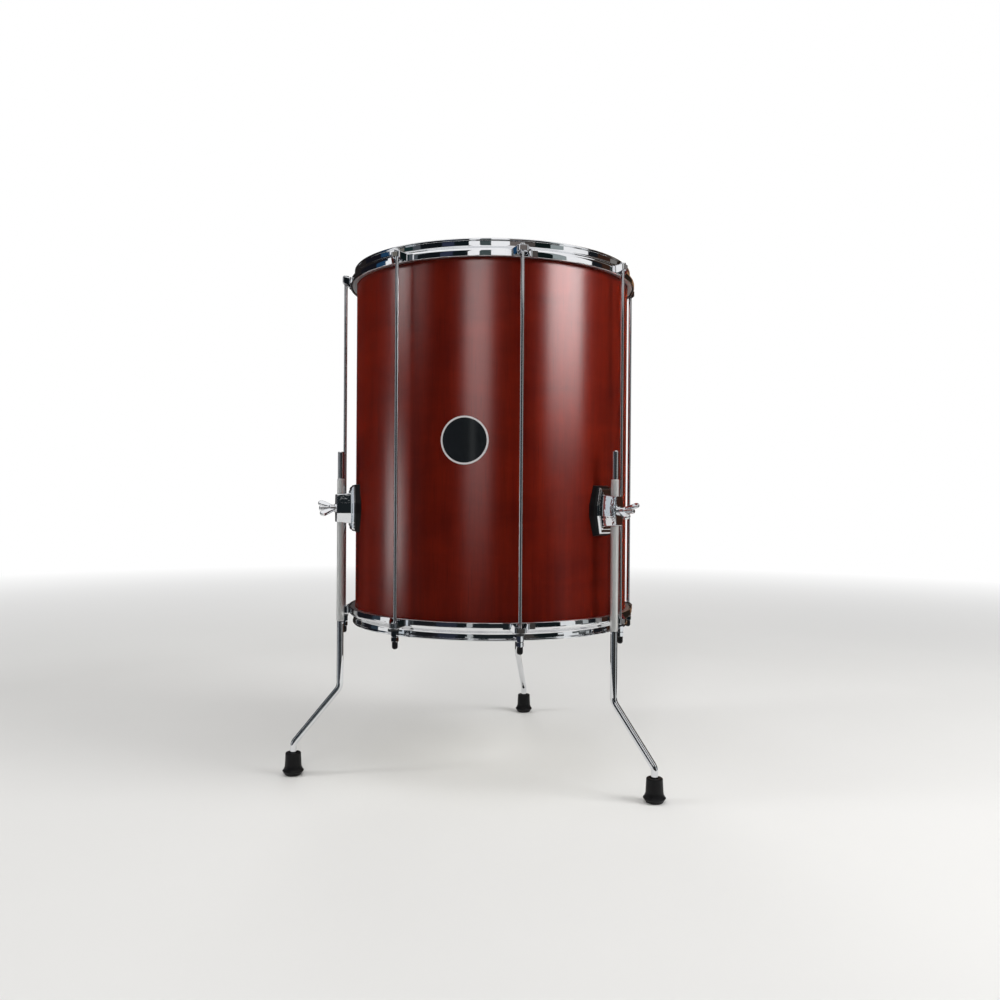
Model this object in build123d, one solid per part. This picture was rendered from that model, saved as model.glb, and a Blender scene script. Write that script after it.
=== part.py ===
from build123d import *
import os
from math import cos, hypot, radians

# A long wooden drum on three legs. Lengths in millimetres, angles in degrees.
# The origin is on the drum's axis at floor level, +Z is up, and the badge faces -Y.
# Angles around the drum are counted from the badge, positive towards +X.

# Shell
shell_diameter = 456.0
shell_length = 558.8
shell_wall = 7.5
shell_floor_gap = 249.0
bearing_edge_round = 2.5
bearing_edge_cut = 4.0

# Heads: a film potted in a flesh hoop
film_thickness = 0.4
film_collar_gap = 0.5
film_potted_depth = 5.0
flesh_hoop_width = 7.1
flesh_hoop_height = 10.0
flesh_hoop_corner = 1.5

# Counter hoops: a rim band and a larger band joined by a sloping ledge
hoop_sheet = 1.8
hoop_height = 28.2
rim_stand = 13.4
rim_gap = 1.2
rim_bead_diameter = 4.0
ledge_start = 12.5
ledge_drop = 6.0
ledge_bend_radius = 3.0
band_gap = 1.5

# Ears welded to the larger band, and the tension rods through them
rod_count = 8
rod_diameter = 5.4
rod_to_band = 7.0
rod_hole_clearance = 0.3
rod_head_diameter = 10.0
rod_head_height = 2.8
rod_head_round = 1.7
ear_height = 14.0
ear_inset = 0.2
ear_wall = 1.8
ear_web = 2.5
ear_base_width = 30.0
ear_crown_width = 15.0
ear_crown_round = 4.5
ear_crown_height = 7.5
ear_shoulder_drop = 4.2
ear_opening_crown = 13.0
ear_opening_base = 24.0
ear_arch_round = 5.0
ear_upward_share = 0.5
ear_foot_span = 48.0
ear_foot_sheet = 1.6
ear_crown_margin = 1.0
ear_join_round = 3.0
ear_edge_round = 0.8

# Washers, nuts and end caps under the lower ears
washer_diameter = 13.0
washer_thickness = 3.0
nut_across_flats = 10.0
nut_height = 16.0
nut_chamfer = 0.8
nut_groove_depth = 0.6
nut_groove_width = 1.2
nut_groove_from_top = 8.5
cap_diameter = 8.8
cap_height = 11.5
cap_floor = 3.5
cap_round = 3.6

# Badge
badge_diameter = 71.0
badge_sheet = 1.2
badge_border = 2.6
badge_recess = 0.5
badge_angle = 2.5

# Leg brackets: gasket, cast clamp and wing bolt
leg_names = ("back", "left", "right")
bracket_below_middle = 102.6
gasket_thickness = 7.0
gasket_half_widths = (25.0, 17.0)
gasket_half_heights = (8.0, 37.2)
gasket_flare_angle = 12.0
gasket_edge_round = 1.5
base_thickness = 4.2
base_half_widths = (20.0, 14.0)
base_half_heights = (8.0, 35.3)
base_bevel = 2.4
step_thickness = 1.6
step_half_widths = (15.5, 12.0)
step_half_heights = (8.0, 29.0)
step_bevel = 1.0
clamp_half_widths = (12.4, 10.2)
clamp_half_heights = (8.0, 24.5)
clamp_draft_angle = 5.5
clamp_edge_round = 1.2
plate_edge_round = 0.7
clamp_wall_over_leg = 2.3
clamp_back_wall = 3.4
pocket_half_widths = (8.0, 6.0)
pocket_half_heights = (8.0, 20.0)
bolt_pad_diameter = 13.5
bolt_pad_height = 2.4
bolt_pad_round = 0.8

# Wing bolt
bolt_diameter = 8.0
bolt_hub_diameter = 11.0
bolt_hub_length = 9.0
bolt_boss_diameter = 7.2
bolt_boss_length = 24.0
bolt_hub_round = 3.0
bolt_tip_clearance = 0.1
wing_root_radius = 3.6
wing_root_reach = 4.5
wing_lobe_radius = 5.8
wing_lobe_reach = 14.4
wing_lobe_rise = 18.5
wing_thickness = 5.0
wing_edge_round = 1.8
wing_tilt_angle = 33.0

# Legs and feet
leg_diameter = 10.6
leg_grip_diameter = 12.0
leg_grip_chamfer = 0.6
leg_grip_above_bracket = 47.5
leg_grip_length = 230.0
leg_axis_from_base = 15.8
leg_top_above_bracket = 91.3
leg_upper_bend_height = 135.8
leg_lower_bend_height = 50.0
leg_reach = 73.5
leg_upper_bend_radius = 18.0
leg_lower_bend_radius = 14.0
leg_end_chamfer = 1.2
leg_in_foot_height = 8.0
foot_height = 36.2
foot_top_diameter = 24.2
foot_waist_diameter = 26.0
foot_waist_height = 17.0
foot_flange_diameter = 34.0
foot_flange_height = 7.2
foot_sole_diameter = 24.0
foot_sole_round = 2.5
foot_flange_round = 0.8
foot_shoulder_round = 2.0
foot_mouth_depth = 2.5
foot_mouth_width = 2.2

# Bracket fixings
fixing_offset = 29.5
fixing_diameter = 6.0
fixing_depth = 3.8
fixing_hole_clearance = 0.3
fixing_head_across_flats = 10.0
fixing_head_height = 4.0
fixing_washer_diameter = 16.0
fixing_washer_thickness = 1.5

# Clearance of a part that turns or slides on another
running_clearance = 0.05
small_gap = 0.1
edge_search_reach = 0.01

# Derived places
shell_radius = shell_diameter / 2
shell_bottom = shell_floor_gap
shell_top = shell_bottom + shell_length
shell_middle = (shell_bottom + shell_top) / 2
rim_top = shell_top + rim_stand
rim_centre_radius = shell_radius + rim_gap + hoop_sheet / 2
collar_inner_radius = shell_radius + film_collar_gap
collar_outer_radius = collar_inner_radius + film_thickness
flesh_hoop_outer_radius = collar_outer_radius + flesh_hoop_width
band_inner_radius = flesh_hoop_outer_radius + band_gap
band_outer_radius = band_inner_radius + hoop_sheet
band_centre_radius = (band_inner_radius + band_outer_radius) / 2
rod_circle_radius = band_outer_radius + rod_to_band
rod_angles = [360 / rod_count * (index + 0.5) for index in range(rod_count)]
ear_end = rim_top - hoop_height + ear_inset
ear_top = ear_end + ear_height
lower_ear_bottom = 2 * shell_middle - ear_top
nut_top = lower_ear_bottom - washer_thickness
nut_bottom = nut_top - nut_height
cap_bottom = nut_bottom - cap_height
bracket_height = shell_middle - bracket_below_middle
gasket_face = shell_radius + gasket_thickness
base_face = gasket_face + base_thickness
step_face = base_face + step_thickness
leg_angles = {name: 180 + index * 360 / len(leg_names) for index, name in enumerate(leg_names)}
leg_axis_radius = base_face + leg_axis_from_base
leg_radius = leg_diameter / 2
grip_radius = leg_grip_diameter / 2
clamp_face = leg_axis_radius + grip_radius + clamp_wall_over_leg
bolt_pad_face = clamp_face + bolt_pad_height
bolt_radius = bolt_diameter / 2


def around(shape, angle):
    """Turn a shape built with its radial direction along +X to its angle around the drum."""
    return Rot(0, 0, angle - 90) * shape


def upside_down(shape):
    """The same shape at the drum's other end."""
    return mirror(shape, Plane.XY.offset(shell_middle))


def turned(profile):
    """A body of revolution from a face drawn as (radius, height)."""
    return revolve(Plane.XZ * profile, Axis.Z)


def upright_cylinder(radius, bottom, top, x=0.0):
    """A cylinder along Z between two heights."""
    return Pos(x, 0, bottom) * Cylinder(radius, top - bottom, align=(Align.CENTER, Align.CENTER, Align.MIN))


def radial_cylinder(radius, start, end, height=0.0):
    """A cylinder along +X between two distances from the drum's axis."""
    body = Cylinder(radius, end - start, align=(Align.CENTER, Align.CENTER, Align.MIN))
    return Pos(start, 0, height) * Rot(0, 90, 0) * body


def radial_octagon(half_widths, half_heights):
    """A tall octagon that looks outwards: widest at mid height, narrower at its flat ends."""
    wide, narrow = half_widths
    low, high = half_heights
    quarter = [(wide, low), (narrow, high)]
    right = [(x, -z) for x, z in reversed(quarter)] + quarter
    left = [(-x, -z) for x, z in right]
    return Polygon(*right, *left, align=None)


def radial_plate(octagon, start, end, taper=0.0):
    """An octagon extruded outwards between two distances from the drum's axis."""
    return extrude(Plane.YZ.offset(start) * octagon, end - start, taper=taper)


def outer_edges(shape, distance):
    """The edges that lie in the plane at a distance from the drum's axis."""
    nearest, furthest = distance - edge_search_reach, distance + edge_search_reach
    return shape.edges().filter_by_position(Axis.X, nearest, furthest)


def edges_beyond(shape, distance):
    """The edges that reach further out than a distance from the drum's axis."""
    return shape.edges().filter_by(lambda edge: edge.center().X > distance + edge_search_reach)


def make_shell():
    """The ply shell with its bearing edges and the holes for the bracket fixings."""
    wall = Rectangle(shell_wall, shell_length, align=(Align.MAX, Align.MIN))
    wall = Pos(shell_radius, shell_bottom) * wall
    outer_corners = wall.vertices().group_by(Axis.X)[-1]
    wall = fillet(outer_corners, bearing_edge_round)
    inner_corners = wall.vertices().group_by(Axis.X)[0]
    wall = chamfer(inner_corners, bearing_edge_cut)
    shell = turned(wall)
    for angle in leg_angles.values():
        for height in fixing_heights():
            hole_radius = fixing_diameter / 2 + fixing_hole_clearance
            inside = shell_radius - 2 * shell_wall
            hole = radial_cylinder(hole_radius, inside, shell_radius + shell_wall, height)
            shell -= around(hole, angle)
    return shell


def fixing_heights():
    """Heights of the two fixings of a bracket."""
    return (bracket_height - fixing_offset, bracket_height + fixing_offset)


def ledge_height(radius):
    """Height of the middle of the top hoop's sloping ledge at a radius."""
    share = (radius - rim_centre_radius) / (band_centre_radius - rim_centre_radius)
    return rim_top - ledge_start - ledge_drop * share


def flesh_hoop_top():
    """Height at which the flesh hoop's outer corner meets the underside of the ledge."""
    corner_radius = flesh_hoop_outer_radius - flesh_hoop_corner
    run = band_centre_radius - rim_centre_radius
    slope_factor = hypot(run, ledge_drop) / run
    reach = hoop_sheet / 2 + flesh_hoop_corner + small_gap
    return ledge_height(corner_radius) - reach * slope_factor + flesh_hoop_corner


def make_flesh_hoop():
    """The aluminium ring that grips the film, with rounded corners on its outer side."""
    top = flesh_hoop_top()
    section = Rectangle(flesh_hoop_width, flesh_hoop_height, align=(Align.MIN, Align.MAX))
    section = Pos(collar_outer_radius, top) * section
    section = fillet(section.vertices().group_by(Axis.X)[-1], flesh_hoop_corner)
    return turned(section)


def make_head_film():
    """The film over the bearing edge, with its collar down into the flesh hoop."""
    collar_bottom = flesh_hoop_top() - film_potted_depth
    bend = bearing_edge_round + film_collar_gap
    bend_centre = collar_inner_radius - bend
    with BuildSketch() as film:
        with BuildLine():
            Polyline((0, shell_top + film_thickness), (0, shell_top), (bend_centre, shell_top))
            inner = CenterArc((bend_centre, shell_top - bend), bend, 90, -90)
            Polyline(
                inner @ 1,
                (collar_inner_radius, collar_bottom),
                (collar_outer_radius, collar_bottom),
                (collar_outer_radius, shell_top - bend),
            )
            CenterArc((bend_centre, shell_top - bend), bend + film_thickness, 0, 90)
            Line((bend_centre, shell_top + film_thickness), (0, shell_top + film_thickness))
        make_face()
    return turned(film.sketch)


def make_hoop():
    """The counter hoop: rolled bead, rim band, ledge that presses on the flesh hoop, larger band."""
    bead_centre = rim_top - rim_bead_diameter / 2
    run = FilletPolyline(
        (rim_centre_radius, bead_centre),
        (rim_centre_radius, ledge_height(rim_centre_radius)),
        (band_centre_radius, ledge_height(band_centre_radius)),
        (band_centre_radius, rim_top - hoop_height + hoop_sheet / 2),
        radius=ledge_bend_radius,
    )
    sheet = make_face(offset(run, hoop_sheet / 2, kind=Kind.ARC, side=Side.BOTH))
    bead = Pos(rim_centre_radius, bead_centre) * Circle(rim_bead_diameter / 2)
    return turned(sheet + bead)


def ear_outline(inset=0.0):
    """Plan of an ear's crown, from inside the band outwards, drawn inset by a wall."""
    crown = rod_circle_radius + rod_diameter / 2 + ear_crown_margin + ear_wall - inset
    root = band_outer_radius - ear_wall
    slope = (ear_base_width - ear_crown_width) / 2 / (crown + inset - band_outer_radius)
    crown_half = ear_crown_width / 2 - inset
    root_half = crown_half + slope * (crown - root)
    right = [(crown, crown_half), (root, root_half)]
    outline = Polygon(*right, *[(x, -y) for x, y in reversed(right)], align=None)
    corners = outline.vertices().group_by(Axis.X)[-1]
    return fillet(corners, ear_crown_round - inset)


def ear_feet():
    """Plan of the two feet that follow the band on both sides of an ear's crown."""
    reach = band_outer_radius + ear_foot_sheet
    half_span = ear_foot_span / 2 * reach / band_outer_radius
    wedge = Polygon((0, 0), (reach, -half_span), (2 * reach, 0), (reach, half_span), align=None)
    return Circle(reach) & wedge


def ear_arch(drop=0.0):
    """An ear's outline seen from outside: level crown, lower shoulders and feet."""
    half_crown = ear_crown_width / 2
    half_base = ear_base_width / 2
    top = ear_top - drop
    shoulder = top - ear_shoulder_drop
    right = [(half_crown, top), (half_base, shoulder), (ear_foot_span, shoulder), (ear_foot_span, ear_end)]
    return right + [(-y, z) for y, z in reversed(right)]


def ear_slice(points):
    """An outline seen from outside, with its upper corners rounded, cut through an ear."""
    outline = Polygon(*points, align=None)
    inner = [corner for corner in outline.vertices() if abs(corner.X) < ear_foot_span]
    corners = [corner for corner in inner if corner.Y > ear_end]
    outline = Plane.YZ.offset(shell_radius) * fillet(corners, ear_arch_round)
    return extrude(outline, 2 * (rod_circle_radius - shell_radius), dir=(1, 0, 0))


def make_ear():
    """A pressed ear: an arched wall on two feet, closed by a web that carries the rod."""
    band = Circle(band_outer_radius)
    plan = ear_outline() + ear_feet() - band
    joins = [corner for corner in plan.vertices() if is_foot_join(corner)]
    plan = fillet(joins, ear_join_round)
    ear = extrude(Plane.XY.offset(ear_end) * plan, ear_height) & ear_slice(ear_arch())
    ear = fillet(ear_rim(ear), ear_edge_round)
    hollow = extrude(Plane.XY.offset(ear_end) * (ear_outline(ear_wall) - band), ear_height)
    ear -= hollow & ear_slice(ear_arch(ear_web))
    half_crown = ear_opening_crown / 2
    half_base = ear_opening_base / 2
    opening_top = ear_top - ear_crown_height
    opening = [(half_crown, opening_top), (half_base, ear_end)]
    ear -= ear_slice(opening + [(-y, z) for y, z in reversed(opening)])
    hole = rod_diameter / 2 + rod_hole_clearance
    ear -= upright_cylinder(hole, ear_end, ear_top, x=rod_circle_radius)
    return ear


def ear_rim(ear):
    """The edges between an ear's upper faces and its outer wall, away from the band."""
    upper = [face for face in ear.faces() if face.normal_at().Z > ear_upward_share]
    edges = [edge for face in upper for edge in face.edges()]
    outer = [edge for edge in edges if edge.center().X > band_outer_radius + ear_wall]
    return [edge for edge in outer if sum(edge.is_same(other) for other in outer) == 1]


def is_foot_join(corner):
    """True where a foot's outer face meets the crown's wall."""
    beyond_band = hypot(corner.X, corner.Y) - band_outer_radius
    on_foot = abs(beyond_band - ear_foot_sheet) < small_gap
    return on_foot and abs(corner.Y) < ear_foot_span / 2 - ear_foot_sheet


def make_rod():
    """A tension rod with its round head on the top ear."""
    stem_bottom = cap_bottom + cap_floor
    with BuildSketch() as profile:
        with Locations((0, stem_bottom)):
            Rectangle(rod_diameter / 2, ear_top - stem_bottom, align=(Align.MIN, Align.MIN))
        with Locations((0, ear_top)):
            Rectangle(rod_head_diameter / 2, rod_head_height, align=(Align.MIN, Align.MIN))
        fillet(profile.vertices().sort_by(Axis.Y)[-2:].sort_by(Axis.X)[-1], rod_head_round)
    return Pos(rod_circle_radius, 0, 0) * turned(profile.sketch)


def make_washer():
    """The washer between a lower ear and its nut."""
    washer = upright_cylinder(washer_diameter / 2, nut_top, lower_ear_bottom, x=rod_circle_radius)
    return washer - upright_cylinder(
        rod_diameter / 2 + rod_hole_clearance, nut_top, lower_ear_bottom, x=rod_circle_radius
    )


def make_tuning_nut():
    """A long hexagon nut with chamfered corners and a turned groove."""
    hexagon = RegularPolygon(nut_across_flats / 2, 6, major_radius=False)
    nut = extrude(Plane.XY.offset(nut_bottom) * hexagon, nut_height)
    corner_radius = nut_across_flats / 2 / cos(radians(30))
    envelope = upright_cylinder(corner_radius, nut_bottom, nut_top)
    envelope = chamfer(envelope.edges().filter_by(GeomType.CIRCLE), nut_chamfer)
    nut &= envelope
    groove_top = nut_top - nut_groove_from_top
    groove = upright_cylinder(corner_radius, groove_top - nut_groove_width, groove_top)
    groove -= upright_cylinder(
        nut_across_flats / 2 - nut_groove_depth, groove_top - nut_groove_width, groove_top
    )
    nut -= groove
    nut -= upright_cylinder(rod_diameter / 2 + running_clearance, nut_bottom, nut_top)
    return Pos(rod_circle_radius, 0, 0) * nut


def make_rod_cap():
    """The soft cap on the rod's lower end, domed underneath."""
    cap = upright_cylinder(cap_diameter / 2, cap_bottom, nut_bottom)
    cap = fillet(cap.edges().sort_by(Axis.Z)[0], cap_round)
    cap -= upright_cylinder(rod_diameter / 2, cap_bottom + cap_floor, nut_bottom)
    return Pos(rod_circle_radius, 0, 0) * cap


def ring_of(shape):
    """One copy of a shape at each tension rod."""
    return [around(shape, angle) for angle in rod_angles]


def badge_layer(diameter, inner_radius, outer_radius):
    """A round piece of sheet that follows the shell, facing outwards."""
    sheet = upright_cylinder(outer_radius, shell_middle - diameter, shell_middle + diameter)
    sheet -= upright_cylinder(inner_radius, shell_middle - diameter, shell_middle + diameter)
    return sheet & radial_cylinder(diameter / 2, inner_radius / 2, outer_radius + badge_sheet, shell_middle)


def make_badge_plate():
    """The curved metal plate with a raised border."""
    face = shell_radius + badge_sheet
    recess = badge_layer(badge_diameter - 2 * badge_border, face - badge_recess, face)
    return badge_layer(badge_diameter, shell_radius, face) - recess


def make_badge_inlay():
    """The bare disc that fills the badge plate's recess."""
    face = shell_radius + badge_sheet
    return badge_layer(badge_diameter - 2 * badge_border, face - badge_recess, face)


def make_gasket():
    """The thick pad between the shell and a cast clamp, flared towards the shell."""
    outline = radial_octagon(gasket_half_widths, gasket_half_heights)
    depth = 2 * gasket_thickness
    pad = extrude(Plane.YZ.offset(gasket_face) * outline, -depth, taper=-gasket_flare_angle)
    pad = fillet(edges_beyond(pad, gasket_face - depth), gasket_edge_round)
    pad = Pos(0, 0, bracket_height) * pad
    pad -= upright_cylinder(shell_radius, bracket_height - shell_radius, bracket_height + shell_radius)
    for height in fixing_heights():
        hole_radius = fixing_diameter / 2 + fixing_hole_clearance
        pad -= radial_cylinder(hole_radius, shell_radius - gasket_thickness, gasket_face, height)
    return pad


def make_clamp():
    """The cast clamp: bevelled base, step, faceted body with the leg's bore, pad for the wing bolt."""
    base = radial_plate(radial_octagon(base_half_widths, base_half_heights), gasket_face, base_face)
    base = chamfer(outer_edges(base, base_face), base_bevel)
    base = fillet(edges_beyond(base, gasket_face), plate_edge_round)
    step = radial_plate(radial_octagon(step_half_widths, step_half_heights), base_face, step_face)
    step = chamfer(outer_edges(step, step_face), step_bevel)
    faceted = radial_octagon(clamp_half_widths, clamp_half_heights)
    body = radial_plate(faceted, base_face, clamp_face, clamp_draft_angle)
    body = fillet(edges_beyond(body, base_face), clamp_edge_round)
    pad = radial_cylinder(bolt_pad_diameter / 2, leg_axis_radius, bolt_pad_face)
    pad = fillet(outer_edges(pad, bolt_pad_face), bolt_pad_round)
    clamp = base + step + body + pad
    pocket = radial_octagon(pocket_half_widths, pocket_half_heights)
    pocket_end = leg_axis_radius - grip_radius - clamp_back_wall
    clamp -= radial_plate(pocket, gasket_face, pocket_end)
    reach = base_half_heights[1]
    clamp -= upright_cylinder(grip_radius + running_clearance, -reach, reach, x=leg_axis_radius)
    clamp -= radial_cylinder(bolt_radius + running_clearance, leg_axis_radius, bolt_pad_face)
    clamp = Pos(0, 0, bracket_height) * clamp
    for height in fixing_heights():
        clamp -= radial_cylinder(fixing_diameter / 2, gasket_face, gasket_face + fixing_depth, height)
    return clamp


def wing_profile():
    """Outline of one wing in the plane of the bolt's axis: a lobe joined to its root by tangents."""
    root = Pos(bolt_pad_face + wing_root_radius + small_gap, wing_root_reach) * Circle(wing_root_radius)
    lobe = Pos(bolt_pad_face + wing_lobe_rise, wing_lobe_reach) * Circle(wing_lobe_radius)
    return make_face(make_hull(root.edges() + lobe.edges()))


def make_wing_bolt(tilt):
    """The wing bolt: plain tip in the clamp's pad, hub, boss and two swept wings."""
    tip = leg_axis_radius + grip_radius + bolt_tip_clearance
    hub_start = bolt_pad_face + small_gap
    bolt = radial_cylinder(bolt_radius, tip, hub_start)
    hub = radial_cylinder(bolt_hub_diameter / 2, hub_start, hub_start + bolt_hub_length)
    hub = fillet(outer_edges(hub, hub_start + bolt_hub_length), bolt_hub_round)
    boss = radial_cylinder(bolt_boss_diameter / 2, hub_start, hub_start + bolt_boss_length)
    boss = fillet(outer_edges(boss, hub_start + bolt_boss_length), wing_edge_round)
    wing = extrude(wing_profile(), wing_thickness / 2, both=True)
    wing = fillet(wing.faces().filter_by(Axis.Z).edges(), wing_edge_round)
    bolt += hub + boss + wing + mirror(wing, Plane.XZ)
    return Pos(0, 0, bracket_height) * Rot(tilt, 0, 0) * bolt


def make_leg():
    """A bent rod with a thicker grip in the clamp, sloping out, then down into its foot."""
    path = FilletPolyline(
        (leg_axis_radius, 0, bracket_height + leg_top_above_bracket),
        (leg_axis_radius, 0, leg_upper_bend_height),
        (leg_axis_radius + leg_reach, 0, leg_lower_bend_height),
        (leg_axis_radius + leg_reach, 0, leg_in_foot_height),
        radius=(leg_upper_bend_radius, leg_lower_bend_radius),
    )
    section = Plane(origin=path @ 0, z_dir=path % 0) * Circle(leg_radius)
    leg = sweep(section, path=path)
    leg = chamfer(leg.edges().sort_by(Axis.Z)[-1], leg_end_chamfer)
    grip_top = bracket_height + leg_grip_above_bracket
    grip = upright_cylinder(grip_radius, grip_top - leg_grip_length, grip_top, x=leg_axis_radius)
    return leg + chamfer(grip.edges().filter_by(GeomType.CIRCLE), leg_grip_chamfer)


def make_foot():
    """The rubber foot: sleeve that flares to a flange, tapered sole, dished mouth round the leg."""
    waist = (foot_waist_diameter / 2, foot_waist_height)
    flange = (foot_flange_diameter / 2, foot_flange_height)
    with BuildSketch() as profile:
        with BuildLine():
            Polyline((0, leg_in_foot_height), (0, 0), (foot_sole_diameter / 2, 0), flange)
            TangentArc(waist, flange, tangent=(0, -1))
            Polyline(
                waist,
                (foot_top_diameter / 2, foot_height),
                (leg_radius + foot_mouth_width, foot_height),
                (leg_radius, foot_height - foot_mouth_depth),
                (leg_radius, leg_in_foot_height),
                (0, leg_in_foot_height),
            )
        make_face()
        fillet(profile.vertices().group_by(Axis.Y)[0].sort_by(Axis.X)[-1], foot_sole_round)
        fillet(profile.vertices().sort_by(Axis.X)[-1], foot_flange_round)
        fillet(profile.vertices().group_by(Axis.Y)[-1].sort_by(Axis.X)[-1], foot_shoulder_round)
    return Pos(leg_axis_radius + leg_reach, 0, 0) * turned(profile.sketch)


def inner_wall_flat():
    """Distance from the drum's axis at which a fixing washer bears on the shell's inner wall."""
    inner_radius = shell_radius - shell_wall
    return (inner_radius**2 - (fixing_washer_diameter / 2) ** 2) ** 0.5


def make_fixing(height):
    """A hexagon bolt from inside the shell into the clamp."""
    seat = inner_wall_flat() - fixing_washer_thickness
    shank = radial_cylinder(fixing_diameter / 2, seat, gasket_face + fixing_depth, height)
    hexagon = RegularPolygon(fixing_head_across_flats / 2, 6, major_radius=False)
    head = extrude(Plane.YZ.offset(seat) * hexagon, -fixing_head_height)
    return shank + Pos(0, 0, height) * head


def make_fixing_washer(height):
    """The washer under a fixing's head, bearing on the shell's inner wall."""
    end = inner_wall_flat()
    washer = radial_cylinder(fixing_washer_diameter / 2, end - fixing_washer_thickness, end, height)
    return washer - radial_cylinder(fixing_diameter / 2, end - fixing_washer_thickness, end, height)


def save(name, *solids):
    """Write one sub-part, as one solid or as a group of separate solids."""
    shape = solids[0] if len(solids) == 1 else Compound(children=list(solids))
    export_step(shape, os.path.join("parts", name + ".step"))


os.makedirs("parts", exist_ok=True)

save("shell", make_shell())

top_film = make_head_film()
save("top_head_film", top_film)
save("bottom_head_film", upside_down(top_film))

top_flesh_hoop = make_flesh_hoop()
save("top_flesh_hoop", top_flesh_hoop)
save("bottom_flesh_hoop", upside_down(top_flesh_hoop))

top_hoop = make_hoop()
save("top_hoop", top_hoop)
save("bottom_hoop", upside_down(top_hoop))

ear = make_ear()
save("top_hoop_ears", *ring_of(ear))
save("bottom_hoop_ears", *ring_of(upside_down(ear)))

save("tension_rods", *ring_of(make_rod()))
save("tension_rod_washers", *ring_of(make_washer()))
save("rod_end_caps", *ring_of(make_rod_cap()))
for number, nut in enumerate(ring_of(make_tuning_nut()), start=1):
    save(f"tuning_nut_{number}", nut)

save("badge_plate", around(make_badge_plate(), badge_angle))
save("badge_inlay", around(make_badge_inlay(), badge_angle))

gasket = make_gasket()
clamp = make_clamp()
leg = make_leg()
foot = make_foot()
for side, angle in leg_angles.items():
    tilt = -wing_tilt_angle if side == "left" else wing_tilt_angle
    save(f"{side}_bracket_gasket", around(gasket, angle))
    save(f"{side}_leg_clamp", around(clamp, angle))
    save(f"{side}_wing_bolt", around(make_wing_bolt(tilt), angle))
    save(f"{side}_leg", around(leg, angle))
    save(f"{side}_rubber_foot", around(foot, angle))

fixing_places = [(height, angle) for angle in leg_angles.values() for height in fixing_heights()]
fixings = [around(make_fixing(height), angle) for height, angle in fixing_places]
washers = [around(make_fixing_washer(height), angle) for height, angle in fixing_places]
save("bracket_fixings", *fixings)
save("bracket_fixing_washers", *washers)
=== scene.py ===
import bpy
import bmesh
from math import cos, pi, radians, sin, tan
from mathutils import Matrix, Vector


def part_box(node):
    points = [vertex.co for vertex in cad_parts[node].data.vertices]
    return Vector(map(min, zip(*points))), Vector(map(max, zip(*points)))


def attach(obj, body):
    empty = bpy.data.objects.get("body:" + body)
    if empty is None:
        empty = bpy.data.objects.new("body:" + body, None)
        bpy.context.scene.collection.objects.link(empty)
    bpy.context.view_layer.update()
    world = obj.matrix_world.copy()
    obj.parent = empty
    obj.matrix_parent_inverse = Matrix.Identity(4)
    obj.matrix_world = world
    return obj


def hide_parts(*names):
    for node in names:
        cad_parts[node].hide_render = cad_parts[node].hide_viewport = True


# A long wooden drum on three clamped legs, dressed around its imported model.
# Metres, +Z up, the front with the badge faces -Y, and angles are degrees from the front towards +X.

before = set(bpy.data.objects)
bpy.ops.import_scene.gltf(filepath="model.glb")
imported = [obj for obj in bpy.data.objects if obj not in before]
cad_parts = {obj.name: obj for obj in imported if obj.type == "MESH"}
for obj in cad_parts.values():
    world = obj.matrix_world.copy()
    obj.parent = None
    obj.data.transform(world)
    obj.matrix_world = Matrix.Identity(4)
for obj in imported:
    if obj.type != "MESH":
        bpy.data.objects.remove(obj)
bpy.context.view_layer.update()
print("frame: loaded", len(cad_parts), "nodes")

legAngles = {"left": -60, "right": 60, "back": 180}
rodAngles = [22.5 + 45 * index for index in range(8)]
sharpAngle = radians(38)
holdShape = {"least": 0.0016, "margin": 0.0003}    # straights that get extra edges, and how near their ends
onAxisReach = 1e-7
mergeReach = 1e-6


# Mesh helpers

def turnTo(angle):
    # turns a shape built along +X to its angle around the drum
    return Matrix.Rotation(radians(angle - 90), 4, "Z")


def outline(corners):
    # edges of a closed outline in the XZ plane from (radius, height, rounding, segments)
    bm = bmesh.new()
    verts = [bm.verts.new((corner[0], 0, corner[1])) for corner in corners]
    bm.faces.new(verts)
    for vert, corner in zip(verts, corners):
        if len(corner) > 2:
            rounding, segments = corner[2:]
            bmesh.ops.bevel(bm, geom=[vert], offset=rounding, offset_type="OFFSET", affect="VERTICES",
                            segments=segments, profile=0.5, material=-1)
    bmesh.ops.delete(bm, geom=bm.faces[:], context="FACES_ONLY")
    onAxis = [edge for edge in bm.edges if all(abs(vert.co.x) < onAxisReach for vert in edge.verts)]
    bmesh.ops.delete(bm, geom=onAxis, context="EDGES")
    holdFlats(bm)
    return bm


def holdFlats(bm):
    # an edge close to each end of a long straight keeps it flat under smooth shading
    for edge in bm.edges[:]:
        if edge.calc_length() < holdShape["least"]:
            continue
        for end in edge.verts[:]:
            parts = [edge, bmesh.utils.edge_split(edge, end, holdShape["margin"] / edge.calc_length())[0]]
            edge = max(parts, key=lambda part: part.calc_length())


def spinOutline(bm, steps):
    # turns an outline all the way round Z, with closed poles and faces outwards
    geom = bm.verts[:] + bm.edges[:]
    bmesh.ops.spin(bm, geom=geom, cent=(0, 0, 0), axis=(0, 0, 1), dvec=(0, 0, 0), angle=2 * pi,
                   steps=steps, use_merge=True, use_normal_flip=False, use_duplicate=False)
    bmesh.ops.remove_doubles(bm, verts=bm.verts[:], dist=mergeReach)
    loose = [edge for edge in bm.edges if not edge.link_faces]
    bmesh.ops.delete(bm, geom=loose, context="EDGES")
    bmesh.ops.recalc_face_normals(bm, faces=bm.faces[:])
    return bm


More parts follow.
